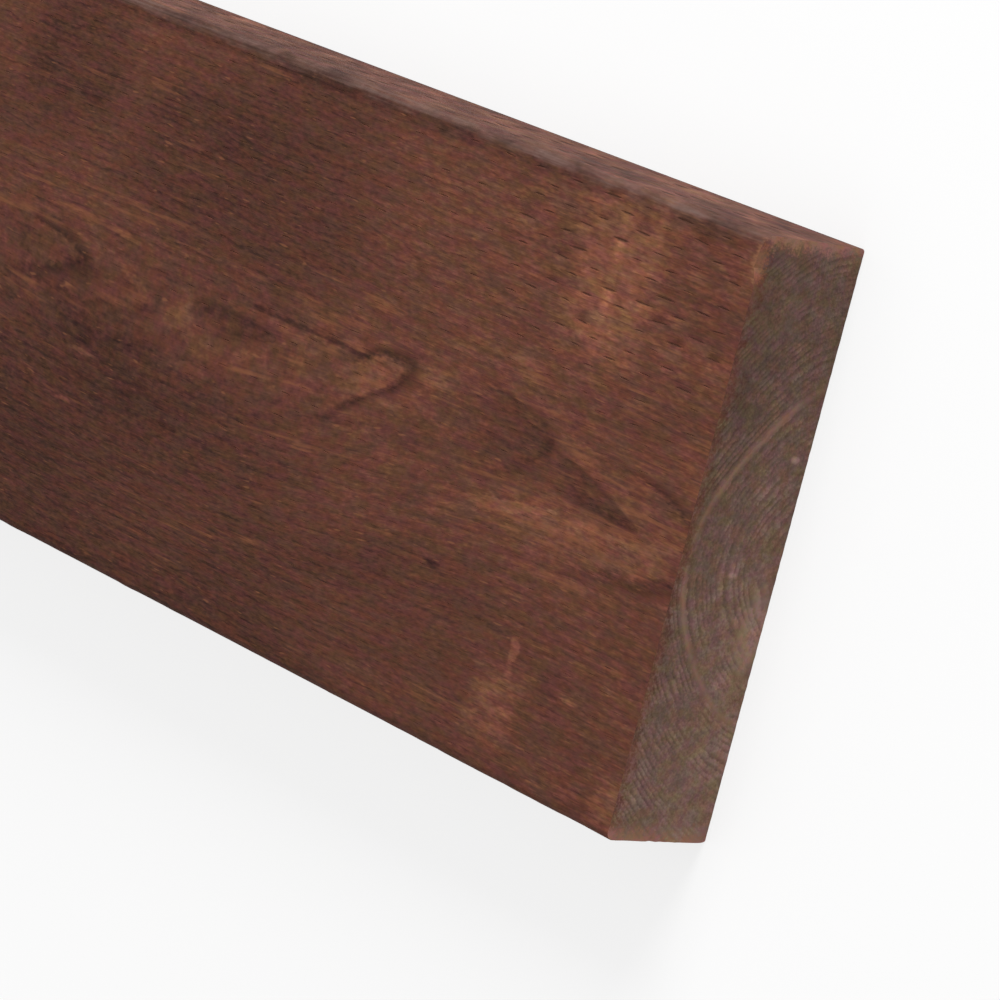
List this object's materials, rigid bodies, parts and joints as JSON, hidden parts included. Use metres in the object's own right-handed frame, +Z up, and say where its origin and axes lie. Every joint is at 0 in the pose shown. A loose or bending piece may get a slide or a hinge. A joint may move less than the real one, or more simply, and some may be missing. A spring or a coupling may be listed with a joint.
{
  "type": "pressure-treated lumber board",
  "caption": "Straight pressure-treated timber board with eased arrises and square-sawn ends, brown stained and incised, for outdoor framing, beams and retaining walls.",
  "frame": {"origin": "middle of the back face that the board lies on", "axes": "+X along the board's length to its shown sawn end, +Y across its width to its shown narrow edge, +Z up out of its wide face"},
  "size_m": [2.4384, 0.2858, 0.0635],
  "materials": {
    "treated_wood": "dark reddish-brown preservative stain, dressed and incised"
  },
  "bodies": {
    "root": {"board": "treated_wood"}
  },
  "joints": []
}
